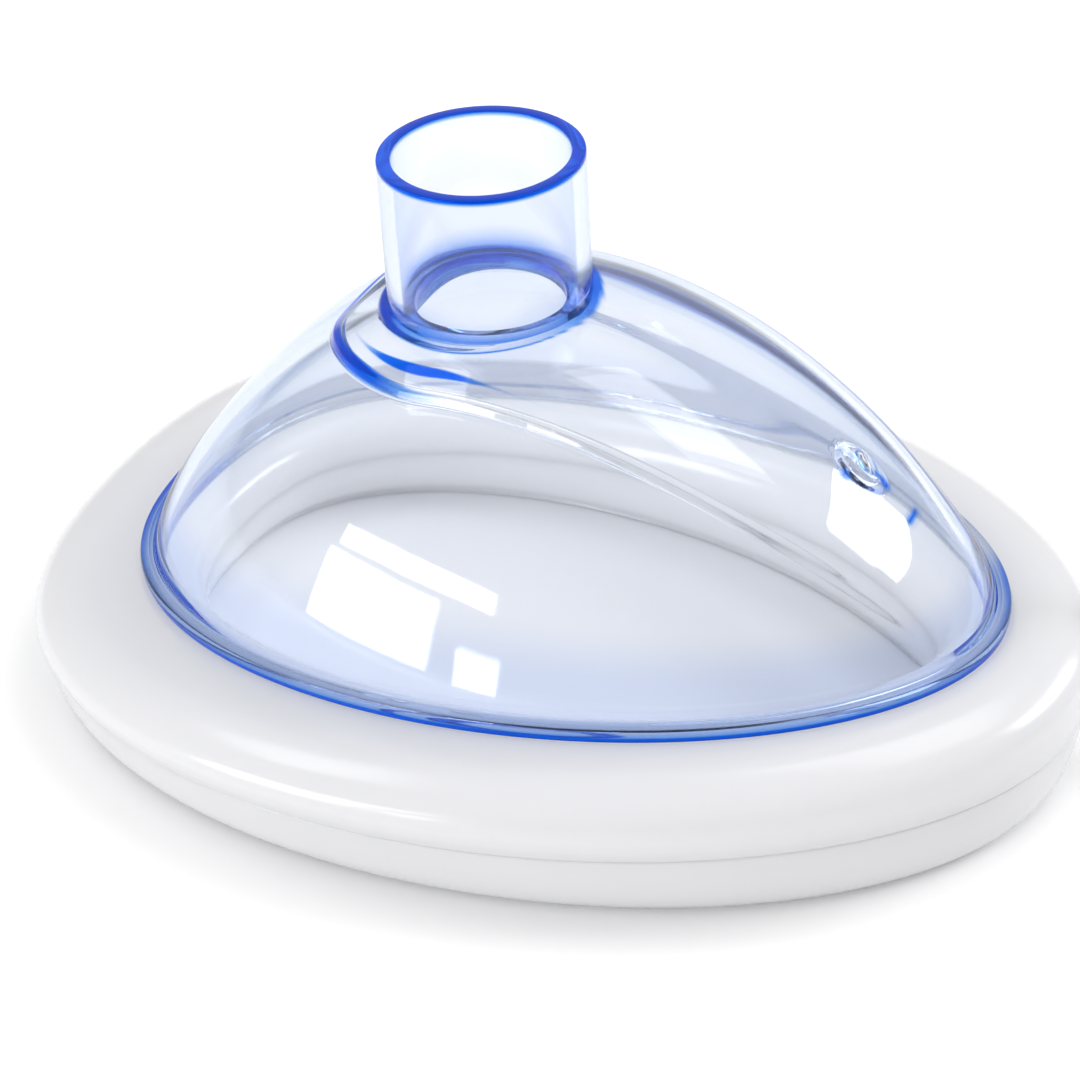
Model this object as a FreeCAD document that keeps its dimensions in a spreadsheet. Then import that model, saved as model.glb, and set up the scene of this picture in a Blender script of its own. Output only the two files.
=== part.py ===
"""Air-cushion face mask of a bag valve mask, adult size, as a parametric document.

Frame: millimetres, +Z up, +X towards the nose end, origin under the middle of the mask on its resting plane.
"""
import FreeCAD, Part
import Sketcher
import math
import os
from FreeCAD import Placement, Rotation, Vector

doc = FreeCAD.newDocument("face_mask")

# ---------------------------------------------------------------- driving dimensions
SIZES = {
    # rim outline of the rigid shell, as the terms of a closed curve
    "rim_centre": -6.2, "rim_long": 62.3, "rim_pear": 1.8, "rim_blunt": -4.3,
    "rim_wide": 37.7, "rim_wide_pear": -1.8, "rim_wide_blunt": -2.9,
    # widest outline of the air cushion, with the same terms
    "ring_centre": -7.65, "ring_long": 75.0, "ring_pear": 2.9, "ring_blunt": -5.0,
    "ring_wide": 51.0, "ring_wide_pear": -2.3, "ring_wide_blunt": -3.4,
    # rigid shell: its underside is a plane that rises towards the nose
    "shell_pitch": 3.7, "shell_seat": 18.0, "flange_thick": 2.0, "flange_round": 0.5, "dome_inset": 1.7,
    "dome_apex": 37.2, "dome_centre": -11.7, "wall": 1.8,
    # powers of the dome's profile: at the sides, its change towards the nose, its change towards both ends
    "round_side": 3.16, "round_nose": -0.10, "round_end": -1.18,
    "steep_side": 1.05, "steep_nose": 0.05, "steep_end": 0.18,
    "platform_raise": 0.9, "platform_half": 20.3, "platform_run": 77.8, "platform_reach": 0.86,
    "boss_along": 34.1, "boss_across": 1.2, "boss_radius": 4.1, "boss_raise": 0.7,
    "nub_across": 3.2, "nub_radius": 1.4, "nub_raise": 1.7,
    # breathing port, moulded in one with the shell
    "port_along": -14.1, "port_outer": 12.95, "port_bore": 11.1, "port_top": 57.0, "port_shoulder": 38.0,
    "throat_radius": 9.6, "bead_radius": 1.3, "bead_height": 36.0,
    # air cushion
    "seat_gap": 0.3, "skin": 1.2,
    # inflation valve, measured along its own axis from the cushion wall
    "valve_turn": 0.3, "valve_height": 16.3, "valve_sink": 1.0, "sleeve_outer": 3.7, "sleeve_inner": 2.9,
    "sleeve_inside": 3.0, "sleeve_outside": 7.0, "wall_clearance": 0.3,
    "head_radius": 4.2, "head_end": 12.5, "head_chamfer": 0.6,
    "socket_radius": 2.15, "socket_floor": 7.5, "passage_radius": 1.9,
    "seat_outer": 4.5, "seat_inner": 3.0, "seat_hole": 1.3, "chamber_radius": 2.2, "body_inner_end": -6.0,
    "stem_radius": 0.8, "stem_end": 7.0, "stem_tail": -3.2, "disc_radius": 1.95, "disc_inner": 1.2,
    "seal_thick": 0.6, "button_radius": 1.45, "button_thick": 1.0,
    "retainer_thick": 1.5, "retainer_hole": 0.95,
    "coil_radius": 1.5, "wire_radius": 0.18, "coil_turns": 6.0,
}
sheet = doc.addObject("Spreadsheet::Sheet", "Sizes")
for row, (alias, value) in enumerate(SIZES.items(), start=1):
    sheet.set(f"A{row}", alias)
    sheet.set(f"B{row}", str(value))
    sheet.setAlias(f"B{row}", alias)
doc.recompute()


def size(alias):
    """Value of one named cell of the sheet."""
    return float(sheet.get(alias))


def bind(item, **bindings):
    """Tie properties of a document object to expressions over the sheet."""
    for prop, expression in bindings.items():
        item.setExpression(prop, expression)


def cell(alias):
    """Expression that reads one cell."""
    return f"Sizes.{alias}"


# ---------------------------------------------------------------- closed curves
CURVE_POINTS = 36


def angles():
    return [2 * math.pi * k / CURVE_POINTS for k in range(CURVE_POINTS)]


def oval(kind, angle, inset=0.0):
    """Point of the rim or ring outline at an angle, moved inwards along the outline's normal.

    x = centre + long cos a + pear cos 2a + blunt cos 3a,  y = wide sin a + pear sin 2a + blunt sin 3a.
    """
    along = [size(f"{kind}_{term}") for term in ("long", "pear", "blunt")]
    across = [size(f"{kind}_{term}") for term in ("wide", "wide_pear", "wide_blunt")]
    x = size(f"{kind}_centre") + sum(c * math.cos((k + 1) * angle) for k, c in enumerate(along))
    y = sum(c * math.sin((k + 1) * angle) for k, c in enumerate(across))
    dx = sum(-(k + 1) * c * math.sin((k + 1) * angle) for k, c in enumerate(along))
    dy = sum((k + 1) * c * math.cos((k + 1) * angle) for k, c in enumerate(across))
    length = math.hypot(dx, dy)
    return x - inset * dy / length, y + inset * dx / length


def closed_wire(points):
    """Smooth closed curve through points."""
    curve = Part.BSplineCurve()
    curve.interpolate(Points=points, PeriodicFlag=True)
    return Part.Wire([curve.toShape()])


def stack(sections):
    """Solid lofted through closed wires from bottom to top."""
    return Part.makeLoft(sections, True, False)


# ---------------------------------------------------------------- shell: dome, platform, boss and flange
def dome_powers(angle):
    """Powers n and m of the profile 1 - s^n = v^m at an angle: blunter at the sides than at the two ends."""
    c = math.cos(angle)
    n = size("round_side") + size("round_nose") * c + size("round_end") * c * c
    m = size("steep_side") + size("steep_nose") * c + size("steep_end") * c * c
    return n, m


def dome_solid(swell, below=0.0):
    """Solid under the dome's surface, moved outwards by swell, with an optional straight skirt below it.

    The levels are the heights that evenly spread shares of the way out have at 45 degrees.
    """
    foot, apex, centre = size("flange_thick"), size("dome_apex") + swell, size("dome_centre")
    inset = size("dome_inset") - swell * (1.0 if swell < 0 else 0.5)
    n, m = dome_powers(math.pi / 4)
    levels = [0.0] + [(1 - s ** n) ** (1 / m) for s in
                      (0.985, 0.95, 0.90, 0.83, 0.75, 0.66, 0.57, 0.48, 0.39, 0.30, 0.22, 0.15, 0.10)]
    wires = []
    if below:
        wires.append(closed_wire([Vector(*oval("rim", a, inset), foot - below) for a in angles()]))
        wires.append(closed_wire([Vector(*oval("rim", a, inset), foot - below / 2) for a in angles()]))
    for v in levels:
        points = []
        for a in angles():
            n, m = dome_powers(a)
            s = (1 - v ** m) ** (1 / n)
            x, y = oval("rim", a, inset)
            points.append(Vector(centre + (x - centre) * s, y * s, foot + (apex - foot) * v))
        wires.append(closed_wire(points))
    return stack(wires)


def platform_prism(shrink):
    """Upright prism over the U-shaped platform: round about the port, tapering as a cubic to the nose rim."""
    half, run, centre = size("platform_half") - shrink, size("platform_run"), size("port_along")
    reach = size("platform_reach") * run
    side = [Vector(centre + reach * k / 8, half * (1 - (reach * k / 8 / run) ** 3), 0) for k in range(9)]
    far = Part.BSplineCurve()
    far.interpolate(Points=side, InitialTangent=Vector(1, 0, 0), FinalTangent=side[-1] - side[-2])
    near = Part.BSplineCurve()
    mirrored = [Vector(p.x, -p.y, 0) for p in reversed(side)]
    near.interpolate(Points=mirrored, InitialTangent=mirrored[1] - mirrored[0], FinalTangent=Vector(-1, 0, 0))
    round_end = Part.Arc(mirrored[-1], Vector(centre - half, 0, 0), side[0])
    front = Part.LineSegment(side[-1], mirrored[0])
    wire = Part.Wire([far.toShape(), front.toShape(), near.toShape(), round_end.toShape()])
    return Part.Face(wire).extrude(Vector(0, 0, 2 * size("dome_apex")))


def upright(x, y, radius):
    return Part.makeCylinder(radius, 2 * size("dome_apex"), Vector(x, y, 0))


def flange_solid():
    """Flat rim plate with a rounded outer edge."""
    thick, soft = size("flange_thick"), size("flange_round")
    steps = [(0.0, soft), (0.3 * soft, 0.3 * soft), (soft, 0.0),
             (thick - soft, 0.0), (thick - 0.3 * soft, 0.3 * soft), (thick, soft)]
    return stack([closed_wire([Vector(*oval("rim", a, inset), level) for a in angles()])
                  for level, inset in steps])


def shell_skin():
    """Dome, raised platform, boss and flange as one thin wall."""
    raised, wall = size("platform_raise"), size("wall")
    boss_x, boss_y, nub_y = size("boss_along"), size("boss_across"), size("nub_across")
    outside = dome_solid(0.0).fuse(dome_solid(raised).common(platform_prism(0.0)))
    outside = outside.fuse(dome_solid(raised + size("boss_raise")).common(upright(boss_x, boss_y, size("boss_radius"))))
    outside = outside.fuse(dome_solid(raised + size("nub_raise")).common(upright(boss_x, nub_y, size("nub_radius"))))
    outside = outside.fuse(flange_solid())
    skirt = size("flange_thick") + wall
    hollow = dome_solid(-wall, skirt).fuse(dome_solid(raised - wall).common(platform_prism(wall)))
    return outside.cut(hollow)


skin = doc.addObject("Part::Feature", "shell_skin")
skin.Shape = shell_skin()

port_wall = doc.addObject("Part::Cylinder", "port_wall")
bind(port_wall, Radius=cell("port_outer"), Height="Sizes.port_top - Sizes.bead_height + 2 * Sizes.wall")
bind(port_wall, **{"Placement.Base.x": cell("port_along"),
                   "Placement.Base.z": "Sizes.bead_height - 2 * Sizes.wall"})
port_bead = doc.addObject("Part::Torus", "port_bead")
bind(port_bead, Radius1=cell("port_outer"), Radius2=cell("bead_radius"))
bind(port_bead, **{"Placement.Base.x": cell("port_along"), "Placement.Base.z": cell("bead_height")})
port_bore = doc.addObject("Part::Cylinder", "port_bore")
bind(port_bore, Radius=cell("port_bore"), Height="Sizes.port_top - Sizes.port_shoulder + Sizes.wall")
bind(port_bore, **{"Placement.Base.x": cell("port_along"), "Placement.Base.z": cell("port_shoulder")})
throat = doc.addObject("Part::Cylinder", "port_throat")
bind(throat, Radius=cell("throat_radius"), Height=cell("port_top"))
bind(throat, **{"Placement.Base.x": cell("port_along")})

shell_outside = doc.addObject("Part::MultiFuse", "shell_outside")
shell_outside.Shapes = [skin, port_wall, port_bead]
shell_inside = doc.addObject("Part::MultiFuse", "shell_inside")
shell_inside.Shapes = [port_bore, throat]
shell = doc.addObject("Part::Cut", "mask_shell")
shell.Base, shell.Tool = shell_outside, shell_inside
shell.Label = "mask_shell"
shell.Placement = Placement(Vector(0, 0, size("shell_seat")), Rotation(Vector(0, 1, 0), -size("shell_pitch")))


# ---------------------------------------------------------------- air cushion: two welded half skins
def seat_height(x):
    """Height of the cushion's top under the shell, which rises towards the nose."""
    return size("shell_seat") - size("seat_gap") + x * math.tan(math.radians(size("shell_pitch")))


# share of the full height, with the inset from the ring outline outside and from the rim outline inside
LOWER_SIDES = [(0.0, 5.5, 4.8), (0.07, 3.6, 6.3), (0.18, 2.3, 7.4), (0.35, 1.5, 8.2), (0.55, 1.2, 8.6)]
UPPER_SIDES = [(0.55, 0.7, 8.6), (0.65, 0.2, 8.6), (0.75, 0.0, 8.3), (0.85, 0.7, 7.6), (0.93, 2.4, 6.4),
               (0.98, 4.8, 5.2), (1.0, 8.0, 4.2)]


def ring_wire(kind, share, inset, lift=0.0):
    """Closed curve at a share of the local height, plus a constant lift."""
    points = []
    for a in angles():
        x, y = oval(kind, a, inset)
        points.append(Vector(x, y, share * seat_height(x) + lift))
    return closed_wire(points)


def half_skin(sides, wall_at_end, closed_end):
    """Half of the hollow ring. The closed end, top or bottom, keeps a wall and the seam end is open."""
    skin_thick = size("skin")
    outer = stack([ring_wire("ring", share, out) for share, out, _ in sides])
    hole = stack([ring_wire("rim", share, inn) for share, _, inn in sides])
    solid = outer.cut(hole)
    lift = -skin_thick if closed_end == "top" else skin_thick
    gap_outer = stack([ring_wire("ring", share, out + skin_thick, lift * w) for (share, out, _), w in
                       zip(sides, wall_at_end)])
    gap_hole = stack([ring_wire("rim", share, inn - skin_thick, lift * w) for (share, _, inn), w in
                      zip(sides, wall_at_end)])
    return solid.cut(gap_outer.cut(gap_hole))


lower = doc.addObject("Part::Feature", "cushion_lower")
lower.Shape = half_skin(LOWER_SIDES, (1.0, 0.8, 0.5, 0.2, 0.0), "bottom")
lower.Label = "cushion_lower"
lower.Placement = Placement()

upper_skin = doc.addObject("Part::Feature", "upper_skin")
upper_skin.Shape = half_skin(UPPER_SIDES, (0.0, 0.1, 0.25, 0.45, 0.7, 0.9, 1.0), "top")


# ---------------------------------------------------------------- inflation valve
def valve_placement():
    """Valve axis: outward normal of the ring outline at the valve's angle, local +Z pointing out."""
    turn = size("valve_turn")
    x, y = oval("ring", turn, size("valve_sink"))
    inner = oval("ring", turn, size("valve_sink") + 1.0)
    heading = math.degrees(math.atan2(y - inner[1], x - inner[0]))
    return Placement(Vector(x, y, size("valve_height")),
                     Rotation(Vector(0, 0, 1), heading).multiply(Rotation(Vector(0, 1, 0), 90)))


valve_place = valve_placement()

wall_hole = doc.addObject("Part::Cylinder", "wall_hole")
bind(wall_hole, Radius="Sizes.sleeve_outer + Sizes.wall_clearance", Height="4 * Sizes.sleeve_inside")
wall_hole.Placement = valve_place.multiply(Placement(Vector(0, 0, -2 * size("sleeve_inside")), Rotation()))
upper = doc.addObject("Part::Cut", "cushion_upper")
upper.Base, upper.Tool = upper_skin, wall_hole
upper.Label = "cushion_upper"


def body_plane(body, role):
    return next(plane for plane in body.Origin.OriginFeatures if plane.Role == role)


def turned(label, outline):
    """Body revolved about its Z axis from a closed outline of (radius, height) expressions."""
    body = doc.addObject("PartDesign::Body", label)
    body.Label = label
    sketch = body.newObject("Sketcher::SketchObject", f"{label}_section")
    sketch.AttachmentSupport = [(body_plane(body, "XZ_Plane"), "")]
    sketch.MapMode = "FlatFace"
    values = [(evaluate(r), evaluate(z)) for r, z in outline]
    count = len(values)
    for k in range(count):
        start, end = values[k], values[(k + 1) % count]
        sketch.addGeometry(Part.LineSegment(Vector(*start, 0), Vector(*end, 0)), False)
    for k in range(count):
        sketch.addConstraint(Sketcher.Constraint("Coincident", k, 2, (k + 1) % count, 1))
    for k, (radius, height) in enumerate(outline):
        for kind, value, expression in (("DistanceX", values[k][0], radius), ("DistanceY", values[k][1], height)):
            if abs(value) < 1e-9:
                other = -2 if kind == "DistanceX" else -1
                sketch.addConstraint(Sketcher.Constraint("PointOnObject", k, 1, other))
                continue
            index = sketch.addConstraint(Sketcher.Constraint(kind, -1, 1, k, 1, value))
            sketch.setExpression(f"Constraints[{index}]", expression)
    turn = body.newObject("PartDesign::Revolution", f"{label}_turn")
    turn.Profile = sketch
    turn.ReferenceAxis = (sketch, ["V_Axis"])
    turn.Angle = 360
    body.Placement = valve_place
    doc.recompute()
    return body


def evaluate(expression):
    """Number that an expression over the sheet gives."""
    return float(sheet.evalExpression(expression))


def outline_of(*points):
    """Outline points written with bare cell names, as expressions."""
    return [(spell(radius), spell(height)) for radius, height in points]


def spell(text):
    words = text.split()
    return " ".join(f"Sizes.{w}" if w in SIZES else w for w in words)


sleeve = turned("inflation_sleeve", outline_of(
    ("sleeve_inner", "0 - sleeve_inside"), ("sleeve_outer", "0 - sleeve_inside"),
    ("sleeve_outer", "sleeve_outside"), ("sleeve_inner", "sleeve_outside")))

valve_body = turned("valve_body", outline_of(
    ("chamber_radius", "body_inner_end"), ("sleeve_inner", "body_inner_end"), ("sleeve_inner", "sleeve_outside"),
    ("head_radius", "sleeve_outside"), ("head_radius", "head_end - head_chamfer"),
    ("head_radius - head_chamfer", "head_end"),
    ("socket_radius", "head_end"), ("socket_radius", "socket_floor"), ("passage_radius", "socket_floor"),
    ("passage_radius", "seat_outer"), ("seat_hole", "seat_outer"), ("seat_hole", "seat_inner"),
    ("chamber_radius", "seat_inner")))

poppet = turned("valve_poppet", outline_of(
    ("0", "stem_tail"), ("stem_radius", "stem_tail"), ("stem_radius", "disc_inner"), ("disc_radius", "disc_inner"),
    ("disc_radius", "seat_inner - seal_thick"), ("stem_radius", "seat_inner - seal_thick"),
    ("stem_radius", "stem_end - button_thick"), ("button_radius", "stem_end - button_thick"),
    ("button_radius", "stem_end"), ("0", "stem_end")))

seal = turned("valve_seal", outline_of(
    ("stem_radius", "seat_inner - seal_thick"), ("disc_radius", "seat_inner - seal_thick"),
    ("disc_radius", "seat_inner"), ("stem_radius", "seat_inner")))

retainer = turned("valve_retainer", outline_of(
    ("retainer_hole", "body_inner_end"), ("chamber_radius", "body_inner_end"),
    ("chamber_radius", "body_inner_end + retainer_thick"), ("retainer_hole", "body_inner_end + retainer_thick")))


def coil_solid():
    """Closed wire coil between the retainer and the poppet's disc, clear of both by the wire's radius."""
    wire = size("wire_radius")
    start = size("body_inner_end") + size("retainer_thick") + wire
    length = size("disc_inner") - wire - start
    helix = Part.makeHelix(length / size("coil_turns"), length, size("coil_radius"))
    helix.translate(Vector(0, 0, start))
    section = Part.Wire([Part.makeCircle(wire, Vector(size("coil_radius"), 0, start), Vector(0, 1, 0))])
    return Part.Wire(helix.Edges).makePipeShell([section], True, True)


spring = doc.addObject("Part::Feature", "valve_spring")
spring.Shape = coil_solid()
spring.Label = "valve_spring"
spring.Placement = valve_place

doc.recompute()

# ---------------------------------------------------------------- checks and output
NODES = [shell, upper, lower, sleeve, valve_body, poppet, seal, retainer, spring]
for item in doc.Objects:
    if "Invalid" in item.State or "Error" in item.State:
        raise RuntimeError(f"{item.Label} failed: {item.State}")
os.makedirs("parts", exist_ok=True)
for node in NODES:
    shape = node.Shape
    if shape.isNull() or not shape.isValid() or not shape.Solids:
        raise RuntimeError(f"{node.Label} has no valid solid")
    shape.exportStep(f"parts/{node.Label}.step")
    box = shape.BoundBox
    print(f"{node.Label:17s} solids {len(shape.Solids)} volume {shape.Volume:9.1f}  "
          f"x {box.XMin:7.2f} {box.XMax:7.2f}  y {box.YMin:7.2f} {box.YMax:7.2f}  z {box.ZMin:7.2f} {box.ZMax:7.2f}")
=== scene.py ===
import math
import bpy
import numpy as np
from mathutils import Matrix, Vector


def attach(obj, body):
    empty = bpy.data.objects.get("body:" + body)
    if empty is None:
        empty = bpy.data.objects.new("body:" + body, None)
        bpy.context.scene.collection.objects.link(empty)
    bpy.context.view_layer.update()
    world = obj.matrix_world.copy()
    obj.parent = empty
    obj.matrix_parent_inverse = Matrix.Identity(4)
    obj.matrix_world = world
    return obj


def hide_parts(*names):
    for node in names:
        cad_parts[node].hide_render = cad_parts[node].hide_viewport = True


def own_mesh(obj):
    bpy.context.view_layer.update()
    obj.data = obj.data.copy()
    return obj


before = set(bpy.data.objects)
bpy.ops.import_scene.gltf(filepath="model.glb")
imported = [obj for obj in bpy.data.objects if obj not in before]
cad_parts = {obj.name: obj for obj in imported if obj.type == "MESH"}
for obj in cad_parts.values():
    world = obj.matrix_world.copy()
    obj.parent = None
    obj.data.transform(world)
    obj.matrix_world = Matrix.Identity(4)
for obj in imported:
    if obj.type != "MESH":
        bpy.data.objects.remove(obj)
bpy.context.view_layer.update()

MM = 0.001

# ------------------------------------------------------------------ camera
# A long lens on a tripod, above and to the nose side of the mask.
azimuth, elevation, roll = math.radians(23.4), math.radians(35.1), math.radians(0.53)
aim = Vector((-2.9, -15.0, 30.0)) * MM
distance = 418.6 * MM
back = Vector((math.sin(azimuth) * math.cos(elevation), -math.cos(azimuth) * math.cos(elevation),
               math.sin(elevation)))
level_right = back.cross(Vector((0, 0, -1))).normalized()
level_up = back.cross(level_right)
right = level_right * math.cos(roll) + level_up * math.sin(roll)
up = level_up * math.cos(roll) - level_right * math.sin(roll)
camera = bpy.data.objects.new("camera", bpy.data.cameras.new("camera"))
bpy.context.scene.collection.objects.link(camera)
camera.data.lens, camera.data.sensor_width = 111.8, 36.0
camera.data.clip_start, camera.data.clip_end = 0.01, 20.0
facing = Matrix((right, up, back)).transposed().to_4x4()
camera.matrix_world = Matrix.Translation(aim + back * distance) @ facing
bpy.context.scene.camera = camera


# ------------------------------------------------------------------ floor and studio light
# A white seamless sweep with big soft boxes round it, as for a catalogue picture of a clear moulding.
def linear(hex_colour, alpha=1.0):
    """sRGB hex to the renderer's linear colour."""
    channels = [int(hex_colour[k:k + 2], 16) / 255 for k in (1, 3, 5)]
    return [c / 12.92 if c <= 0.04045 else ((c + 0.055) / 1.055) ** 2.4 for c in channels] + [alpha]


def add_node(tree, kind, values=None, **settings):
    """One node, with its settings and with each named input given a value or joined to an output."""
    node = tree.nodes.new(kind)
    for name, value in settings.items():
        setattr(node, name, value)
    for name, value in (values or {}).items():
        socket = node.inputs[name]
        if isinstance(value, bpy.types.NodeSocket):
            tree.links.new(value, socket)
        else:
            socket.default_value = value
    return node


def new_material(name):
    """Empty material and its node tree."""
    material = bpy.data.materials.new(name)
    material.use_nodes = True
    material.node_tree.nodes.clear()
    return material, material.node_tree


floor_reach = 6.0
floor_mesh = bpy.data.meshes.new("floor")
floor_corners = [(x * floor_reach, y * floor_reach, 0) for x, y in ((-1, -1), (1, -1), (1, 1), (-1, 1))]
floor_mesh.from_pydata(floor_corners, [], [(0, 1, 2, 3)])
floor = bpy.data.objects.new("floor", floor_mesh)
bpy.context.scene.collection.objects.link(floor)
floor_paint, tree = new_material("white_sweep_paper")     # matt paper: an even white with almost no shine
paper = add_node(tree, "ShaderNodeBsdfPrincipled", {"Base Color": linear("#FAFAFA"), "Roughness": 0.9,
                                                    "Specular IOR Level": 0.1})
add_node(tree, "ShaderNodeOutputMaterial", {"Surface": paper.outputs[0]})
floor_mesh.materials.append(floor_paint)

world = bpy.data.worlds.new("studio")
bpy.context.scene.world = world
world.use_nodes = True
tree = world.node_tree
heading = add_node(tree, "ShaderNodeTexCoord")
height = add_node(tree, "ShaderNodeSeparateXYZ", {"Vector": heading.outputs["Generated"]})
rise = add_node(tree, "ShaderNodeMapRange", {"Value": height.outputs["Z"], "From Min": 0.0, "From Max": 0.75,
                                             "To Min": 0.56, "To Max": 0.9}, interpolation_type="SMOOTHSTEP")
background = tree.nodes["Background"]
background.inputs["Color"].default_value = linear("#FAFAFA")
tree.links.new(rise.outputs[0], background.inputs["Strength"])
bpy.context.scene.view_settings.view_transform = "Standard"
bpy.context.scene.cycles.max_bounces = bpy.context.scene.cycles.transmission_bounces = 20

soft_boxes = {  # bearing, rise and roll in degrees, distance, width and height in metres, brightness
    "window_low_pane": (-30.0, 4.9, 0.0, 1.0, 0.45, 0.205, 9.0),
    "window_high_pane": (-24.0, 14.4, 0.0, 1.0, 0.60, 0.075, 9.0),
    "window_side_pane": (-9.0, 1.3, 0.0, 1.0, 0.13, 0.10, 9.0),
    "nose_box": (127.5, 31.2, -15.0, 1.0, 0.60, 0.235, 9.0),
    "overhead_left_box": (-85.0, 60.0, 0.0, 1.2, 0.50, 0.30, 3.2),
    "overhead_back_box": (150.0, 66.0, 0.0, 1.2, 0.80, 0.45, 2.2),
}
for name, (bearing, lift, turned_by, away, wide, high, brightness) in soft_boxes.items():
    bearing, lift = math.radians(bearing), math.radians(lift)
    outward = Vector((math.sin(bearing) * math.cos(lift), -math.cos(bearing) * math.cos(lift),
                      math.sin(lift)))
    lamp = bpy.data.lights.new(name, "AREA")
    lamp.shape, lamp.size, lamp.size_y = "RECTANGLE", wide, high
    lamp.energy = brightness * math.pi * wide * high
    holder = bpy.data.objects.new(name, lamp)
    bpy.context.scene.collection.objects.link(holder)
    holder.location = outward * away + Vector((0, 0, 0.03))
    level = outward.to_track_quat("Z", "Y").to_matrix()
    holder.rotation_euler = (level @ Matrix.Rotation(math.radians(turned_by), 3, "Z")).to_euler()

# ------------------------------------------------------------------ air cushion
# Two soft PVC skins, thermoformed and welded to each other along a line below the widest part, then blown up.
# The upper skin is welded under the rim of the shell; the lower one spreads flat on the face or the table.
pitch = math.radians(3.7)
shell_seat, seat_gap = 18.0, 0.3
RIM = {"centre": -6.2, "along": (62.3, 1.8, -4.3), "across": (37.7, -1.8, -2.9)}
RING = {"centre": -7.65, "along": (75.0, 2.9, -5.0), "across": (51.0, -2.3, -3.4)}


def outline(curve, angle, inset=0.0):
    """Closed outline in mm, moved in along its normal by inset.

    x is the centre plus the sum of c cos ka and y is the sum of c sin ka, for k = 1 to 3.
    """
    steps = np.arange(1, 4)[:, None]
    along, across = np.array(curve["along"])[:, None], np.array(curve["across"])[:, None]
    x = curve["centre"] + (along * np.cos(steps * angle)).sum(0)
    y = (across * np.sin(steps * angle)).sum(0)
    dx = -(steps * along * np.sin(steps * angle)).sum(0)
    dy = (steps * across * np.cos(steps * angle)).sum(0)
    length = np.hypot(dx, dy)
    return x - inset * dy / length, y + inset * dx / length


def seat_height(x):
    """Height of the cushion's top under the shell: a plane that rises towards the nose."""
    return shell_seat - seat_gap + x * np.tan(pitch)


def smooth_rows(rows, steps, closed=False):
    """Catmull-Rom curve through rows of points, with a number of steps between neighbours."""
    rows = np.asarray(rows)
    before = np.roll(rows, 1, 0) if closed else np.concatenate([rows[:1], rows[:-1]])
    after = np.roll(rows, -1, 0) if closed else np.concatenate([rows[1:], rows[-1:]])
    last = np.roll(rows, -2, 0) if closed else np.concatenate([rows[2:], rows[-1:], rows[-1:]])
    share = (np.arange(steps) / steps).reshape(1, -1, *[1] * (rows.ndim - 1))
    a, b, c, d = (r[:, None] for r in (before, rows, after, last))
    curve = 0.5 * (2 * b + (c - a) * share + (2 * a - 5 * b + 4 * c - d) * share ** 2
                   + (3 * b - a - 3 * c + d) * share ** 3)
    curve = curve.reshape(-1, *rows.shape[1:])
    return curve if closed else np.concatenate([curve[:(len(rows) - 1) * steps], rows[-1:]])


def grid_piece(name, grid, material, sharp=40.0, flip=False):
    """Closed surface over rows and columns of points in metres, which wraps round in both directions."""
    rows, columns = grid.shape[:2]
    index = np.arange(rows * columns).reshape(rows, columns)
    corners = [index, np.roll(index, -1, 1), np.roll(np.roll(index, -1, 0), -1, 1), np.roll(index, -1, 0)]
    faces = np.stack(corners[::-1] if flip else corners, -1).reshape(-1, 4)
    mesh = bpy.data.meshes.new(name)
    mesh.vertices.add(rows * columns)
    mesh.vertices.foreach_set("co", grid.reshape(-1).astype(np.float32))
    mesh.loops.add(faces.size)
    mesh.loops.foreach_set("vertex_index", faces.reshape(-1).astype(np.int32))
    mesh.polygons.add(len(faces))
    mesh.polygons.foreach_set("loop_start", np.arange(0, faces.size, 4, dtype=np.int32))
    mesh.update(calc_edges=True)
    mesh.validate()
    mesh.polygons.foreach_set("use_smooth", np.ones(len(mesh.polygons), bool))
    mesh.set_sharp_from_angle(angle=math.radians(sharp))
    mesh.materials.append(material)
    piece = bpy.data.objects.new(name, mesh)
    bpy.context.scene.collection.objects.link(piece)
    return piece


ring_angle = np.linspace(0, 2 * np.pi, 360, endpoint=False)


def skin_grid(section, steps):
    """Grid of a skin: each section point is an inset from an outline at a share of the local height."""
    rows = []
    for curve, inset, share in section:
        x, y = outline(curve, ring_angle, inset)
        rows.append(np.stack([x, y, share * seat_height(x)], -1))
    rows = smooth_rows(rows, steps)
    return np.maximum(rows, [-np.inf, -np.inf, 0.0]) * MM


# Plasticised PVC film off a smooth mould: a soft satin sheen, slightly translucent, with a faint cloudiness.
soft_pvc, tree = new_material("soft_white_pvc_satin")
place = add_node(tree, "ShaderNodeTexCoord")
cloud = add_node(tree, "ShaderNodeTexNoise", {"Vector": place.outputs["Object"], "Scale": 25.0,
                                              "Detail": 1.0})
shade = add_node(tree, "ShaderNodeMix", {"Factor": cloud.outputs["Fac"]}, data_type="RGBA")
shade.inputs[6].default_value = linear("#CFCFD2")
shade.inputs[7].default_value = linear("#D5D5D8")
gloss = add_node(tree, "ShaderNodeMapRange", {"Value": cloud.outputs["Fac"], "To Min": 0.17, "To Max": 0.22})
# Painted light: the cushion's inner wall, which lies under the clear shell, is painted near white (#FCFCFE)
# to look lit by light falling in through the shell.
painted_inner_wall_light = add_node(tree, "ShaderNodeAttribute", attribute_name="painted_inner_wall_light")
painted_light_mix = add_node(tree, "ShaderNodeMix", {"Factor": painted_inner_wall_light.outputs["Fac"]}, data_type="RGBA")
tree.links.new(shade.outputs[2], painted_light_mix.inputs[6])
painted_light_mix.inputs[7].default_value = linear("#FCFCFE")
vinyl = add_node(tree, "ShaderNodeBsdfPrincipled", {
    "Base Color": painted_light_mix.outputs[2], "Roughness": gloss.outputs[0], "IOR": 1.53, "Subsurface Weight": 0.35,
    "Subsurface Radius": (1.0, 1.0, 1.1), "Subsurface Scale": 0.012})
add_node(tree, "ShaderNodeOutputMaterial", {"Surface": vinyl.outputs[0]})

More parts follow.
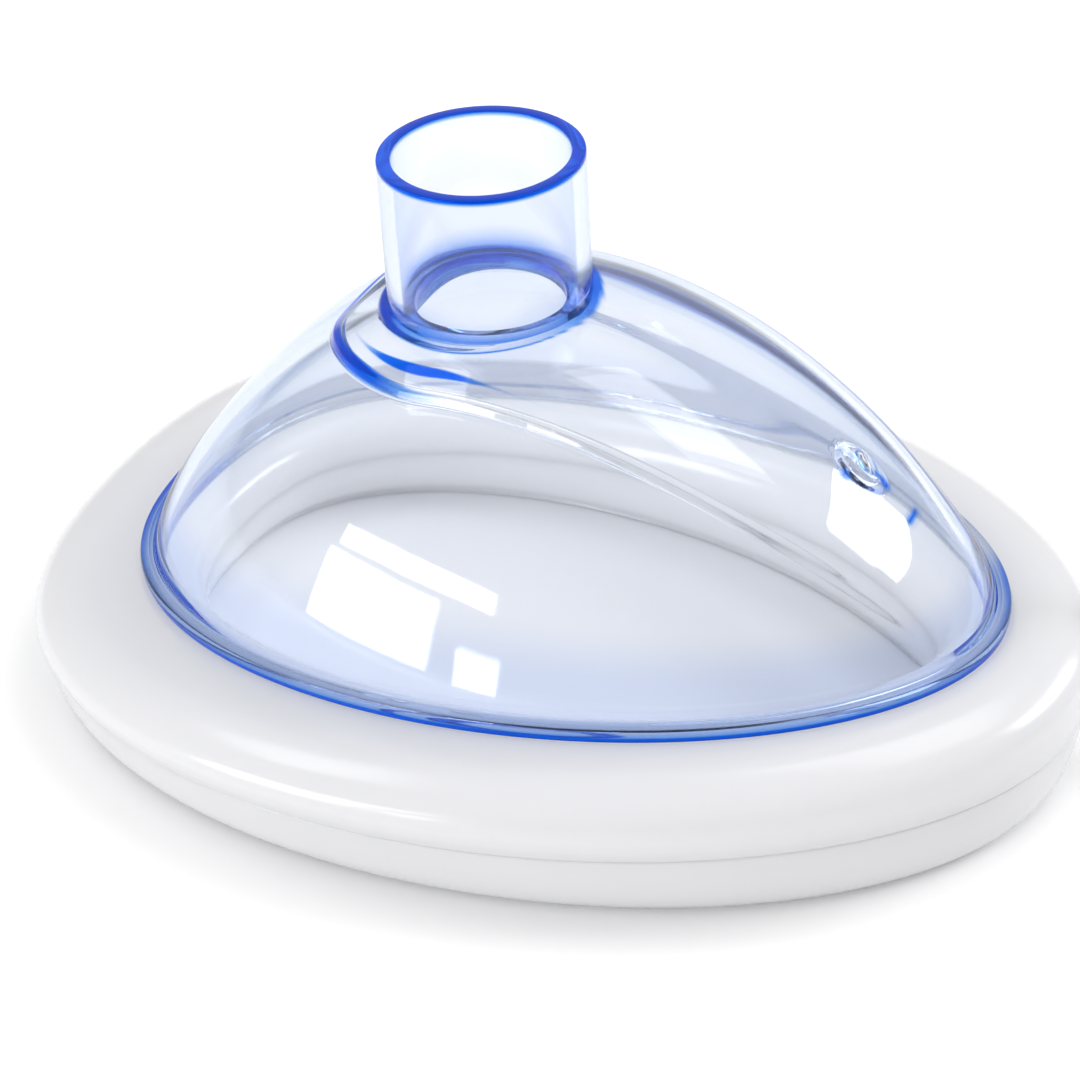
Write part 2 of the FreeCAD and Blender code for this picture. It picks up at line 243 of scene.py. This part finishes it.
upper_section = [(RING, 1.6, 0.550), (RING, 0.85, 0.556), (RING, 0.60, 0.585), (RING, 0.15, 0.67),
                 (RING, 0.0, 0.76), (RING, 0.75, 0.87), (RING, 2.6, 0.965), (RING, 5.6, 1.03),
                 (RING, 8.6, 1.04), (RIM, -0.5, 1.022), (RIM, 0.6, 1.006), (RIM, 3.2, 1.0),
                 (RIM, 5.6, 0.965), (RIM, 7.6, 0.86), (RIM, 8.6, 0.70), (RIM, 8.6, 0.55)]
lower_section = [(RIM, 8.6, 0.55), (RIM, 8.3, 0.36), (RIM, 7.3, 0.17), (RIM, 6.0, 0.05), (RIM, 4.8, 0.0),
                 (RING, 6.6, 0.0), (RING, 5.0, 0.012), (RING, 3.4, 0.075), (RING, 2.2, 0.19),
                 (RING, 1.5, 0.35), (RING, 1.15, 0.50), (RING, 1.25, 0.538), (RING, 1.9, 0.550)]
cushion_upper = grid_piece("air_cushion_upper_skin", skin_grid(upper_section, 6), soft_pvc)
cushion_lower = grid_piece("air_cushion_lower_skin", skin_grid(lower_section, 6), soft_pvc)
for skin_piece, section in ((cushion_upper, upper_section), (cushion_lower, lower_section)):
    # Mask of the inner wall (rows inset from the rim), which the material paints lighter: painted light.
    inner = smooth_rows([[float(curve is RIM and inset > 2.0)] for curve, inset, share in section], 6)
    inner = np.repeat(np.clip(inner, 0, 1), len(ring_angle)).astype(np.float32)
    painted_light_attribute = skin_piece.data.attributes.new("painted_inner_wall_light", "FLOAT", "POINT")
    painted_light_attribute.data.foreach_set("value", inner)

valve_root, valve_heading = np.array([62.343, 10.775, 16.3]), math.radians(19.533)
valve_out = np.array([math.cos(valve_heading), math.sin(valve_heading), 0.0])
valve_side = np.array([-valve_out[1], valve_out[0], 0.0])
valve_up = np.array([0.0, 0.0, 1.0])


def cut_round_hole(piece, radius, inside, outside):
    """Cuts a round hole along the valve's axis, from inside the valve's root to outside it, in mm."""
    angle = np.linspace(0, 2 * np.pi, 64, endpoint=False)
    ring = valve_root + radius * (np.cos(angle)[:, None] * valve_side + np.sin(angle)[:, None] * valve_up)
    near, far = np.arange(64), np.arange(64) + 64
    points = np.concatenate([ring - inside * valve_out, ring + outside * valve_out]) * MM
    faces = np.stack([near, np.roll(near, -1), np.roll(far, -1), far], -1).tolist()
    faces += [near[::-1].tolist(), far.tolist()]
    drill_mesh = bpy.data.meshes.new("drill")
    drill_mesh.from_pydata(points.tolist(), [], faces)
    drill = bpy.data.objects.new("drill", drill_mesh)
    bpy.context.scene.collection.objects.link(drill)
    cut = piece.modifiers.new("hole", "BOOLEAN")
    cut.object, cut.operation, cut.solver = drill, "DIFFERENCE", "EXACT"
    finished = piece.evaluated_get(bpy.context.evaluated_depsgraph_get())
    piece.data = bpy.data.meshes.new_from_object(finished)
    piece.modifiers.clear()
    piece.data.set_sharp_from_angle(angle=math.radians(40.0))
    bpy.data.objects.remove(drill)


sleeve_hole, press_travel = 3.8, 2.5
cut_round_hole(cushion_upper, sleeve_hole, inside=9.0, outside=6.0)
for skin_piece, node_name in ((cushion_upper, "cushion_upper"), (cushion_lower, "cushion_lower")):
    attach(skin_piece, "cushion")
    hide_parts(node_name)
    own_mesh(skin_piece)

# ------------------------------------------------------------------ rigid shell
# Dome, rim flange, raised U-shaped platform, hook boss and 22 mm port: one injection moulding in clear PVC
# with a trace of blue. Its thin walls look clear and its edges, where light runs inside, look deep blue; that
# deep blue is painted glow, set point by point.
flange_thick, wall, dome_inset = 2.0, 1.8, 1.7
dome_apex, dome_centre = 37.2, -11.7
platform_raise, platform_half, platform_run = 0.9, 20.3, 77.8
port_along, port_outer, port_bore, port_top, port_shoulder = -14.1, 12.95, 11.1, 57.0, 38.0
throat_radius, bead_radius, bead_height = 9.6, 1.3, 36.0
boss_along, boss_across, boss_radius, boss_raise = 34.9, 0.3, 2.9, 0.45
nub_along, nub_across, nub_radius, nub_raise = 35.1, 1.5, 1.0, 0.55

fan = np.linspace(0, 2 * np.pi, 400, endpoint=False)
fan = fan - 0.5 * np.sin(fan)                      # columns closer together at the nose, where the boss is


def dome_height(x, y, swell):
    """Height over the seat plane of the dome moved out by swell: foot + rise (1 - s^n)^(1/m).

    s is the distance from the dome's centre as a share of the foot outline's. n and m vary with direction.
    """
    angle = np.linspace(-np.pi, np.pi, 721)
    inset = dome_inset - swell * (1.0 if swell < 0 else 0.5)
    foot_x, foot_y = outline(RIM, angle, inset)
    bearing = np.unwrap(np.arctan2(foot_y, foot_x - dome_centre))
    here = np.arctan2(y, x - dome_centre)
    reach = np.interp(here, bearing, np.hypot(foot_x - dome_centre, foot_y))
    c = np.cos(np.interp(here, bearing, angle))
    n, m = 3.16 - 0.10 * c - 1.18 * c * c, 1.05 + 0.05 * c + 0.18 * c * c
    s = np.clip(np.hypot(x - dome_centre, y) / reach, 0, 1)
    return flange_thick + (dome_apex + swell - flange_thick) * (1 - s ** n) ** (1 / m)


def platform_edge(bearing, shrink):
    """Distance from the port's axis to the platform's edge: a half circle, then half (1 - (x / run)^3)."""
    x = np.linspace(0, platform_run * 0.98, 400)
    y = (platform_half - shrink) * (1 - (x / platform_run) ** 3)
    edge = np.interp(np.abs(bearing), np.arctan2(y, x)[::-1], np.hypot(x, y)[::-1])
    return np.where(np.abs(bearing) > np.pi / 2, platform_half - shrink, edge)


def ease(value, low, high):
    """Smooth step from 0 at low to 1 at high."""
    share = np.clip((value - low) / (high - low), 0, 1)
    return share * share * (3 - 2 * share)


def wall_rows(swell, start_radius, stop_inset, shrink, before, step, after):
    """Rows of one side of the dome, from round the port out to the foot, crowded at the platform's step.

    A point lies on the line from the port's axis to the foot. Returns x, y, height, the distance outside the
    step and the bearing round the port in degrees.
    """
    foot_x, foot_y = outline(RIM, fan, stop_inset)
    bearing = np.arctan2(foot_y, foot_x - port_along)
    reach = np.hypot(foot_x - port_along, foot_y)
    slant = 0.45 + 0.75 * np.exp(-(np.abs(bearing) / 0.5) ** 2)
    edge = np.minimum(platform_edge(bearing, shrink), reach - slant - 0.4)
    crowding = 1 + 2.5 * np.exp(-((np.linspace(0, 1, before - 1) - 0.73) / 0.12) ** 2)
    inner = np.concatenate([[0], np.cumsum(1 / crowding)])[:, None] / (1 / crowding).sum()
    outer = np.linspace(0, 1, after + 1)[1:, None]
    outer = 1 - (1 - outer) ** 1.25
    across = np.linspace(-1, 1, step)[1:-1, None]
    radius = np.concatenate([start_radius + (edge - slant - start_radius) * inner, edge + slant * across,
                             edge + slant + (reach - edge - slant) * np.concatenate([[[0.0]], outer])])
    share = (radius - edge) / slant
    on_top = 1 - ease(share, -0.7, 0.7)
    x, y = port_along + radius * np.cos(bearing), radius * np.sin(bearing)
    low, high = dome_height(x, y, swell), dome_height(x, y, swell + platform_raise)
    fade = 1 - ease(x, 32.0, 46.0)
    return x, y, low + (high - low) * on_top * fade, radius - edge, np.degrees(bearing)


def ridge(value, middle, half_width):
    """Smooth bump of height 1 about a middle value."""
    return np.exp(-((value - middle) / half_width) ** 2)


def stripe(value, low, high, blur):
    """1 between low and high, 0 outside, with a smooth edge of twice the blur."""
    return ease(value, low - blur, low + blur) * (1 - ease(value, high - blur, high + blur))


def far_arm(degrees):
    """1 along the arm of the platform that lies on the far side of the nose, fading to 0 at its ends."""
    return ease(degrees, 4, 16) * (1 - ease(degrees, 70, 105))


def painted_outer_edge_glow(offset, degrees):
    """Painted glow of light leaving the platform's edge, seen from outside, at an offset from it in mm and a
    bearing round the port.

    A crescent round the chin end, a shorter crescent 2.9 mm inside it, and a band along the far arm.
    """
    chin = np.maximum(ease(-degrees, 70, 125), ease(degrees, 100, 110))
    crescent = chin * stripe(offset, -0.1 - 1.1 * chin, 0.15, 0.2)
    inside = ridge(degrees, -97, 26)
    second = np.clip(1.6 * inside, 0, 1) * stripe(offset, -2.9 - 0.75 * inside, -2.8 + 0.5 * inside, 0.18)
    far = 0.8 * far_arm(degrees) * stripe(offset, -0.2, 0.2 + 2.4 * far_arm(degrees), 0.6)
    return np.maximum(np.maximum(crescent, second), far)


def painted_inner_edge_glow(offset, degrees):
    """Painted glow on the inner wall, in a band at the foot of the far arm's step, narrower towards its ends.
    """
    return far_arm(degrees) * stripe(offset, 0.6, 0.6 + 2.6 * far_arm(degrees), 0.6)


out_x, out_y, out_z, out_offset, out_bearing = wall_rows(0.0, port_outer, dome_inset, 0.0, 84, 9, 40)
from_boss = np.hypot(out_x - boss_along, out_y - boss_across)
nub_lean = np.array([0.64, -0.77])
nub_length = (out_x - nub_along) * nub_lean[0] + (out_y - nub_across) * nub_lean[1]
nub_width = (out_y - nub_across) * nub_lean[0] - (out_x - nub_along) * nub_lean[1]
from_nub = np.hypot(nub_length - np.clip(nub_length, -0.7, 0.7), nub_width)
out_z = out_z + boss_raise * (1 - ease(from_boss, boss_radius - 0.5, boss_radius + 0.3))
out_z = out_z + nub_raise * (1 - ease(from_nub, nub_radius - 0.9, nub_radius + 0.3))
# Painted glow of light leaving the wall: rings at the boss's and the nub's rims, two spots on the boss's
# edge, and a line along the gate mark, which has no shape of its own.
boss_painted_glow = 0.25 * ridge(from_boss, boss_radius, 0.35) + 0.5 * ridge(from_nub, nub_radius, 0.25)
for mark_x, mark_y in ((37.5, 1.1), (33.8, -3.0)):
    boss_painted_glow = boss_painted_glow + 0.9 * ridge(np.hypot(out_x - mark_x, out_y - mark_y), 0.0, 0.7)
gate_mark_painted_glow = ridge(out_x, 41.4, 0.35) * ease(out_y, -1.6, -0.6) * (1 - ease(out_y, 1.4, 3.2))
boss_painted_glow = boss_painted_glow + 0.9 * gate_mark_painted_glow
in_x, in_y, in_z, in_offset, in_bearing = wall_rows(-wall, throat_radius, dome_inset + wall, wall, 32, 9, 24)
from_axis = np.hypot(out_x - port_along, out_y)
bead = bead_height + np.sqrt(np.clip(bead_radius ** 2 - (from_axis - port_outer) ** 2, 0, None))
out_z = np.where(from_axis < port_outer + bead_radius, np.maximum(out_z, bead), out_z)


def round_row(radius, height):
    """One level ring round the port's axis."""
    foot_x, foot_y = outline(RIM, fan, dome_inset)
    bearing = np.arctan2(foot_y, foot_x - port_along)
    return port_along + radius * np.cos(bearing), radius * np.sin(bearing), np.full_like(fan, height)


def rim_row(inset, height):
    """One level ring that follows the rim's outline."""
    x, y = outline(RIM, fan, inset)
    return x, y, np.full_like(fan, height)


lip = 0.25                                          # radius of the port's softened edges
rows, glow = [], []


def lay(ring, blue):
    """Adds one ring of points to the shell's rows, with its share of painted edge glow."""
    rows.append(np.stack(ring, -1))
    glow.append(np.broadcast_to(blue, fan.shape))


foot_x, foot_y = outline(RIM, fan, dome_inset)
foot_reach = np.hypot(foot_x - port_along, foot_y)
near_side = ridge(out_bearing, -62, 60)             # the painted glow of bead and shoulder is weaker on this side, towards the camera
# Rows of the port, each with its painted edge glow: full on the top ring, weaker round the shoulder on the
# side towards the camera.
for radius, height, blue in ((port_bore, port_shoulder, 0.6 - 0.45 * near_side),
                             (port_bore, port_shoulder + 0.5, 0.3 - 0.2 * near_side),
                             (port_bore, port_shoulder + 1.6, 0.25 - 0.2 * near_side),
                             (port_bore, port_shoulder + 3.4, 0.03), (port_bore, port_top - 1.5, 0.03),
                             (port_bore, port_top - 0.7, 0.08), (port_bore, port_top - lip, 0.6),
                             (port_bore + 0.3 * lip, port_top - 0.3 * lip, 1.0),
                             (port_bore + lip, port_top, 1.0),
                             (port_outer - lip, port_top, 1.0),
                             (port_outer - 0.3 * lip, port_top - 0.3 * lip, 1.0),
                             (port_outer, port_top - lip, 1.0), (port_outer, port_top - 0.5, 0.5),
                             (port_outer, port_top - 0.8, 0.03), (port_outer, bead_height + 6.0, 0.03),
                             (port_outer, bead_height + 3.0, 0.06), (port_outer, bead_height + 1.6, 0.5)):
    lay(round_row(radius, height), blue)
# Rows of the outside, each with its painted edge glow: crescents and bands along the platform's edge, the
# bead's rim, the boss marks and a faint glow near the foot.
for k in range(len(out_x)):
    on_bead = 1 - ease(from_axis[k] - port_outer, 0.7 * bead_radius, 1.1 * bead_radius)
    bead_line = ridge(from_axis[k] - port_outer, 1.25, 0.15)
    on_bead = on_bead * (1 - 0.85 * near_side) + 0.8 * near_side * bead_line
    foot = 0.14 * ease(from_axis[k], foot_reach - 5.0, foot_reach - 1.5)
    row_painted_glow = painted_outer_edge_glow(out_offset[k], out_bearing) + on_bead + boss_painted_glow[k] + foot
    lay((out_x[k], out_y[k], out_z[k]), np.clip(row_painted_glow, 0, 1))
# Painted: the rim's edge glow is painted much weaker along the far side of the rim.
far_side = ease(np.sin(fan), 0.0, 0.35) * ease(-np.cos(fan), -0.93, -0.8)
for inset, height, blue in ((dome_inset - 0.5, flange_thick + 0.12, 0.2),
                            (dome_inset - 0.8, flange_thick, 0.25),
                            (0.5, flange_thick, 0.25), (0.15, flange_thick - 0.15, 0.35),
                            (0.0, flange_thick - 0.5, 0.35), (0.0, 1.0, 0.5), (0.0, 0.7, 1.0),
                            (0.15, 0.15, 1.0),
                            (0.5, 0.0, 0.6), (1.5, 0.0, 0.1),
                            (dome_inset + wall - 0.3, 0.0, 0.1), (dome_inset + wall, 0.3, 0.1)):
    lay(rim_row(inset, height), blue * (1 - 0.85 * far_side))
# Rows of the inside, with painted glow at the far arm's step and round the throat.
for k in reversed(range(len(in_x))):
    throat_painted_glow = 0.4 * ridge(np.hypot(in_x[k] - port_along, in_y[k]), throat_radius, 1.0)
    lay((in_x[k], in_y[k], in_z[k]), np.clip(painted_inner_edge_glow(in_offset[k], in_bearing) + throat_painted_glow, 0, 1))
lay(round_row(throat_radius, port_shoulder - 0.3), 0.9 - 0.7 * near_side)
lay(round_row(throat_radius + 0.3, port_shoulder), 0.7 - 0.6 * near_side)

shell_points = np.array(rows)
tip = np.array([[math.cos(pitch), 0, -math.sin(pitch)], [0, 1, 0], [math.sin(pitch), 0, math.cos(pitch)]])
shell_points = (shell_points @ tip.T + [0, 0, shell_seat]) * MM

# Clear PVC from a polished mould: glassy, with a faint waviness. Face-on it is nearly colourless, at a slant
# it turns pale blue. The edge attribute paints in, as deep blue, light that runs inside the wall and leaves
# it at its edges: painted glow in the base colour, lower transmission there, and a painted blue tint on the
# reflection.
clear_pvc, tree = new_material("clear_blue_trace_pvc_moulded")
slope = add_node(tree, "ShaderNodeLayerWeight", {"Blend": 0.5})
edge_light = add_node(tree, "ShaderNodeAttribute", attribute_name="painted_edge_glow")


def ramp(tree, factor, *stops):
    """Colour that runs through (position, sRGB hex) stops."""
    node = add_node(tree, "ShaderNodeValToRGB", {"Fac": factor})
    stones = node.color_ramp.elements
    while len(stones) < len(stops):
        stones.new(0.5)
    for stone, (position, hex_colour) in zip(stones, stops):
        stone.position, stone.color = position, linear(hex_colour)
    return node.outputs["Color"]


slant_tint = ramp(tree, slope.outputs["Facing"],
                  (0.30, "#F6F7F9"), (0.72, "#DAE4F7"), (0.93, "#93B8F3"), (1.0, "#1E5ADC"))
# Painted glow: white where the edge attribute is 0, deep blue where it is 1.
painted_edge_glow_colour = ramp(tree, edge_light.outputs["Fac"],
                 (0.0, "#FFFFFF"), (0.25, "#A3BEF4"), (0.5, "#4086EA"), (0.85, "#004CDE"))
tint = add_node(tree, "ShaderNodeMix", {"Factor": 1.0}, data_type="RGBA", blend_type="MULTIPLY")
tree.links.new(slant_tint, tint.inputs[6])
tree.links.new(painted_edge_glow_colour, tint.inputs[7])
piped = add_node(tree, "ShaderNodeMapRange", {"Value": edge_light.outputs["Fac"], "From Min": 0.3,
                                              "From Max": 1.0, "To Min": 1.0, "To Max": 0.35})
# Painted reflection: the reflection's tint turns deep blue where the edge glow is painted.
painted_reflection_tint = add_node(tree, "ShaderNodeMix", {"Factor": edge_light.outputs["Fac"]}, data_type="RGBA")
tree.links.new(ramp(tree, slope.outputs["Facing"], (0.3, "#FFFFFF"), (1.0, "#9CBAF6")), painted_reflection_tint.inputs[6])
painted_reflection_tint.inputs[7].default_value = linear("#0846E4")
place = add_node(tree, "ShaderNodeTexCoord")
flow = add_node(tree, "ShaderNodeTexNoise", {"Vector": place.outputs["Object"], "Scale": 55.0, "Detail": 1.0})
wave = add_node(tree, "ShaderNodeBump", {"Height": flow.outputs["Fac"], "Strength": 0.10, "Distance": 0.0004})
glass = add_node(tree, "ShaderNodeBsdfPrincipled", {
    "Base Color": tint.outputs[2], "Roughness": 0.035, "IOR": 1.53, "Transmission Weight": piped.outputs[0],
    "Normal": wave.outputs[0], "Specular Tint": painted_reflection_tint.outputs[2]})
passing = add_node(tree, "ShaderNodeBsdfTransparent", {"Color": linear("#EFF0F3")})
ray = add_node(tree, "ShaderNodeLightPath")
soft_ray = add_node(tree, "ShaderNodeMath", {0: ray.outputs["Is Shadow Ray"],
                                             1: ray.outputs["Is Diffuse Ray"]}, operation="MAXIMUM")
both = add_node(tree, "ShaderNodeMixShader", {"Fac": soft_ray.outputs[0]})
tree.links.new(glass.outputs[0], both.inputs[1])
tree.links.new(passing.outputs[0], both.inputs[2])
trace = add_node(tree, "ShaderNodeVolumeAbsorption", {"Color": (0.27, 0.60, 0.93, 1.0), "Density": 15.0})
add_node(tree, "ShaderNodeOutputMaterial", {"Surface": both.outputs[0], "Volume": trace.outputs[0]})

shell = grid_piece("clear_shell", shell_points, clear_pvc, sharp=35.0, flip=True)
blue = shell.data.attributes.new("painted_edge_glow", "FLOAT", "POINT")
blue.data.foreach_set("value", np.array(glow).reshape(-1).astype(np.float32))
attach(shell, "shell")
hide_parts("mask_shell")

# ------------------------------------------------------------------ valve sleeve
# Short tube of soft PVC welded into the cushion's wall with a fillet of melted vinyl round its root.
# All valve pieces are turned about one axis that leans out of the cushion's nose end.
def turned(name, profile, material, body, node_name, flutes=0, depth=0.0, fluted=(0.0, 0.0)):
    """Piece turned on the valve's axis from (radius, distance out) in mm.

    A closed profile makes a ring. One that starts and ends on the axis makes a solid pin with two poles.
    Flutes deepen the radius by depth (1 + cos) / 2 between the two fluted distances.
    """
    around = np.linspace(0, 2 * np.pi, 192, endpoint=False)
    profile = np.array(profile)
    pin = profile[0, 0] == 0
    rings = profile[1:-1] if pin else profile
    radius, out = rings[:, :1], rings[:, 1:]
    cut = depth * 0.5 * (1 + np.cos(flutes * around)) * ((out > fluted[0]) & (out < fluted[1]))
    radius = radius - cut
    points = (valve_root + out[..., None] * valve_out + (radius * np.cos(around))[..., None] * valve_side
              + (radius * np.sin(around))[..., None] * valve_up) * MM
    if not pin:
        piece = grid_piece(name, points, material, sharp=50.0)
    else:
        count = len(rings)
        index = np.arange(count * len(around)).reshape(count, -1)
        nearby = np.roll(index, -1, 1)
        faces = np.stack([index[:-1], nearby[:-1], nearby[1:], index[1:]], -1).reshape(-1, 4).tolist()
        first, last = count * len(around), count * len(around) + 1
        faces += [(first, b, a) for a, b in zip(index[0], nearby[0])]
        faces += [(last, a, b) for a, b in zip(index[-1], nearby[-1])]
        ends = (valve_root + profile[[0, -1], 1:] * valve_out) * MM
        mesh = bpy.data.meshes.new(name)
        mesh.from_pydata(np.concatenate([points.reshape(-1, 3), ends]).tolist(), [], faces)
        mesh.polygons.foreach_set("use_smooth", np.ones(len(mesh.polygons), bool))
        mesh.set_sharp_from_angle(angle=math.radians(50.0))
        mesh.materials.append(material)
        piece = bpy.data.objects.new(name, mesh)
        bpy.context.scene.collection.objects.link(piece)
    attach(piece, body)
    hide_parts(node_name)
    return piece


def plastic(name, low_colour, high_colour, low_gloss, high_gloss, grain, **more):
    """Opaque material whose colour and roughness drift with a noise of so many grains to the metre."""
    material, tree = new_material(name)
    place = add_node(tree, "ShaderNodeTexCoord")
    cloud = add_node(tree, "ShaderNodeTexNoise", {"Vector": place.outputs["Object"], "Scale": grain,
                                                  "Detail": 2.0})
    shade = add_node(tree, "ShaderNodeMix", {"Factor": cloud.outputs["Fac"]}, data_type="RGBA")
    shade.inputs[6].default_value = linear(low_colour)
    shade.inputs[7].default_value = linear(high_colour)
    gloss = add_node(tree, "ShaderNodeMapRange", {"Value": cloud.outputs["Fac"], "To Min": low_gloss,
                                                  "To Max": high_gloss})
    shader = add_node(tree, "ShaderNodeBsdfPrincipled", {"Base Color": shade.outputs[2],
                                                         "Roughness": gloss.outputs[0], **more})
    add_node(tree, "ShaderNodeOutputMaterial", {"Surface": shader.outputs[0]})
    return material


# Extruded PVC tube: a duller shine than the film, drifting over about 3 mm.
tube_pvc = plastic("soft_pvc_extruded_tube", "#C9CACE", "#D2D3D7", 0.22, 0.34, 300.0, IOR=1.53)
sleeve_profile = [(2.9, -3.0), (3.5, -3.0), (3.7, -2.8), (3.7, 0.2), (5.6, 0.55), (5.0, 0.85), (4.3, 1.25),
                  (3.9, 1.8), (3.72, 2.5), (3.7, 6.7), (3.6, 6.92), (3.4, 7.0), (2.9, 7.0)]
turned("soft_valve_sleeve", sleeve_profile, tube_pvc, "valve", "inflation_sleeve")

# ------------------------------------------------------------------ valve body and retainer
# Injection-moulded ABS: a fluted grip on the head, a plain luer mouth and a smooth spigot in the sleeve.
# The retainer is a pressed-in ring that holds the spring.
# Injection-moulded ABS: hard, opaque white with a low even gloss, drifting over about 2 mm.
hard_white = plastic("white_abs_moulded", "#DCDDE0", "#E6E7EA", 0.28, 0.40, 500.0, IOR=1.54)
body_profile = [(2.2, -6.0), (2.9, -6.0), (2.9, 7.0), (4.1, 7.0), (4.2, 7.1), (4.2, 7.75), (4.2, 7.8),
                (4.2, 11.4), (4.2, 11.45), (4.2, 11.9), (4.05, 12.3), (3.6, 12.5), (2.35, 12.5),
                (2.2, 12.4), (2.15, 12.2),
                (2.15, 7.5), (1.9, 7.5), (1.9, 4.5), (1.3, 4.5), (1.3, 3.0), (2.2, 3.0)]
turned("fluted_valve_body", body_profile, hard_white, "valve", "valve_body",
       flutes=24, depth=0.35, fluted=(7.76, 11.42))
retainer_profile = [(0.95, -5.95), (1.0, -6.0), (2.1, -6.0), (2.2, -5.9), (2.2, -4.6), (2.1, -4.5),
                    (1.0, -4.5), (0.95, -4.55)]
turned("pressed_retainer_ring", retainer_profile, hard_white, "valve", "valve_retainer")

# ------------------------------------------------------------------ poppet and its seal
# Blue acetal pin with a domed button, and a flat ring of black nitrile rubber that shuts on the body's seat.
# Injection-moulded acetal: deep even blue with a waxy gloss.
blue_acetal = plastic("blue_acetal_moulded", "#1046A8", "#1850B6", 0.30, 0.42, 600.0, IOR=1.48)
poppet_profile = [(0.0, -3.2), (0.6, -3.2), (0.8, -3.0), (0.8, 1.2), (1.85, 1.2), (1.95, 1.3), (1.95, 2.4),
                  (0.8, 2.4), (0.8, 6.04), (1.4, 6.04), (1.45, 6.1), (1.45, 6.75), (1.3, 6.92),
                  (0.9, 7.0), (0.0, 7.0)]
turned("blue_poppet", poppet_profile, blue_acetal, "poppet", "valve_poppet")
# Moulded nitrile rubber: near black and dull.
black_rubber = plastic("black_nitrile_moulded", "#1D1D1F", "#262628", 0.55, 0.75, 900.0, IOR=1.52)
seal_profile = [(0.8, 2.4), (1.9, 2.4), (1.95, 2.5), (1.95, 2.9), (1.9, 3.0), (0.8, 3.0)]
turned("rubber_seal_ring", seal_profile, black_rubber, "poppet", "valve_seal")

# ------------------------------------------------------------------ valve spring
# Drawn stainless wire wound in six turns between the retainer and the poppet's disc. On the real valve it
# shortens as the poppet is pushed in; here it is one fixed mesh on the valve's body.
# Drawn stainless wire: bright grey metal with fine drawing marks, coarser here than the real ones.
spring_steel = plastic("drawn_stainless_wire", "#9A9B9E", "#B4B5B8", 0.22, 0.38, 1500.0, Metallic=1.0)
coil_radius, wire_radius, coil_turns, coil_start, coil_end = 1.5, 0.18, 6.0, -4.32, 1.02
wire_rows, wire_sides = 361, 16
along_wire = np.linspace(0, 1, wire_rows)[:, None]
wound = 2 * np.pi * coil_turns * along_wire
round_wire = np.linspace(0, 2 * np.pi, wire_sides, endpoint=False)
end_taper = np.clip(np.minimum(along_wire, 1 - along_wire) * 400, 0.02, 1)
ring_out = (coil_radius + wire_radius * end_taper * np.cos(round_wire))[..., None]
coil_height = coil_start + (coil_end - coil_start) * along_wire + wire_radius * end_taper * np.sin(round_wire)
coil_heading = np.cos(wound)[..., None] * valve_side + np.sin(wound)[..., None] * valve_up
coil_points = valve_root + (coil_height[..., None] * valve_out + ring_out * coil_heading)
index = np.arange(wire_rows * wire_sides).reshape(wire_rows, wire_sides)
nearby = np.roll(index, -1, 1)
wire_faces = np.stack([index[:-1], index[1:], nearby[1:], nearby[:-1]], -1).reshape(-1, 4).tolist()
wire_faces += [index[0].tolist(), index[-1][::-1].tolist()]
wire_mesh = bpy.data.meshes.new("coiled_valve_spring")
wire_mesh.from_pydata((coil_points.reshape(-1, 3) * MM).tolist(), [], wire_faces)
wire_mesh.polygons.foreach_set("use_smooth", np.ones(len(wire_mesh.polygons), bool))
wire_mesh.materials.append(spring_steel)
spring = bpy.data.objects.new("coiled_valve_spring", wire_mesh)
bpy.context.scene.collection.objects.link(spring)
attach(spring, "valve")
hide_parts("valve_spring")
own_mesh(spring)
